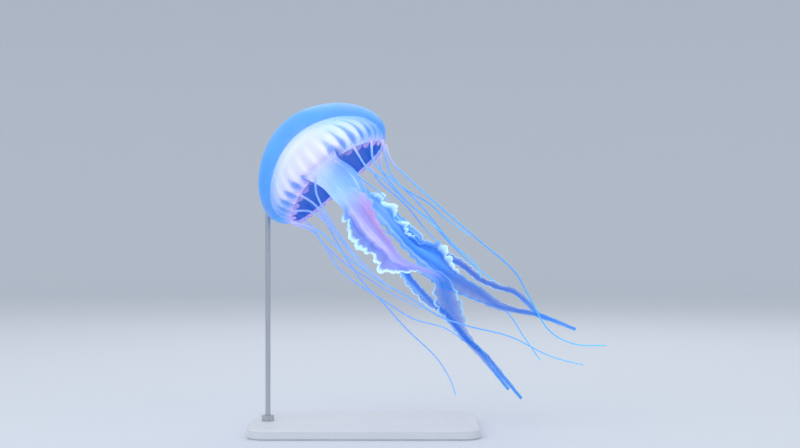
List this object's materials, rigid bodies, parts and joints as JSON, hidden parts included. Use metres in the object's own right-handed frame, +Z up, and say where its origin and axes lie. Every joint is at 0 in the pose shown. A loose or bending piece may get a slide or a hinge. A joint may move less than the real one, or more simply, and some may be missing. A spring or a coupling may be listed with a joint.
{
  "type": "sea nettle jellyfish on a display stand",
  "caption": "Life-size sea nettle jellyfish, swimming up and to the left with frilled oral arms and thin trailing tentacles, held above a flat base by one rod.",
  "frame": {"origin": "centre of the underside of the stand's base, on the floor", "axes": "+Z up; +X from the bell towards the tips of the tentacles; -Y towards the viewer, the side to which the bell's opening turns a little"},
  "size_m": [0.2819, 0.1206, 0.2613],
  "materials": {
    "bell": "gloss",
    "lining": "satin",
    "margin": "gloss",
    "manubrium": "gloss",
    "oral_arms": "gloss",
    "tentacles": "gloss",
    "stand_base": "satin",
    "steel": "satin"
  },
  "bodies": {
    "root": {"bell": "bell", "bell_lining": "lining", "bell_margin": "margin", "manubrium": "manubrium", "oral_arm_front_1": "oral_arms", "oral_arm_front_2": "oral_arms", "oral_arm_front_3": "oral_arms", "oral_arm_front_4": "oral_arms", "oral_arm_right_1": "oral_arms", "oral_arm_right_2": "oral_arms", "oral_arm_right_3": "oral_arms", "oral_arm_right_4": "oral_arms", "oral_arm_left_1": "oral_arms", "oral_arm_left_2": "oral_arms", "oral_arm_left_3": "oral_arms", "oral_arm_left_4": "oral_arms", "oral_arm_back_1": "oral_arms", "oral_arm_back_2": "oral_arms", "oral_arm_back_3": "oral_arms", "oral_arm_back_4": "oral_arms", "tentacle_01_1": "tentacles", "tentacle_01_2": "tentacles", "tentacle_02_1": "tentacles", "tentacle_02_2": "tentacles", "tentacle_03_1": "tentacles", "tentacle_03_2": "tentacles", "tentacle_04_1": "tentacles", "tentacle_04_2": "tentacles", "tentacle_05_1": "tentacles", "tentacle_05_2": "tentacles", "tentacle_06_1": "tentacles", "tentacle_06_2": "tentacles", "tentacle_07_1": "tentacles", "tentacle_07_2": "tentacles", "tentacle_08_1": "tentacles", "tentacle_08_2": "tentacles", "tentacle_08_3": "tentacles", "tentacle_09_1": "tentacles", "tentacle_09_2": "tentacles", "tentacle_10_1": "tentacles", "tentacle_10_2": "tentacles", "tentacle_11_1": "tentacles", "tentacle_11_2": "tentacles", "tentacle_11_3": "tentacles", "tentacle_12_1": "tentacles", "tentacle_12_2": "tentacles", "tentacle_12_3": "tentacles", "tentacle_13_1": "tentacles", "tentacle_13_2": "tentacles", "tentacle_14_1": "tentacles", "tentacle_14_2": "tentacles", "tentacle_15_1": "tentacles", "tentacle_15_2": "tentacles", "tentacle_16_1": "tentacles", "tentacle_16_2": "tentacles", "tentacle_16_3": "tentacles", "stand_base": "stand_base", "stand_rod": "steel", "stand_collar": "steel"}
  },
  "joints": []
}
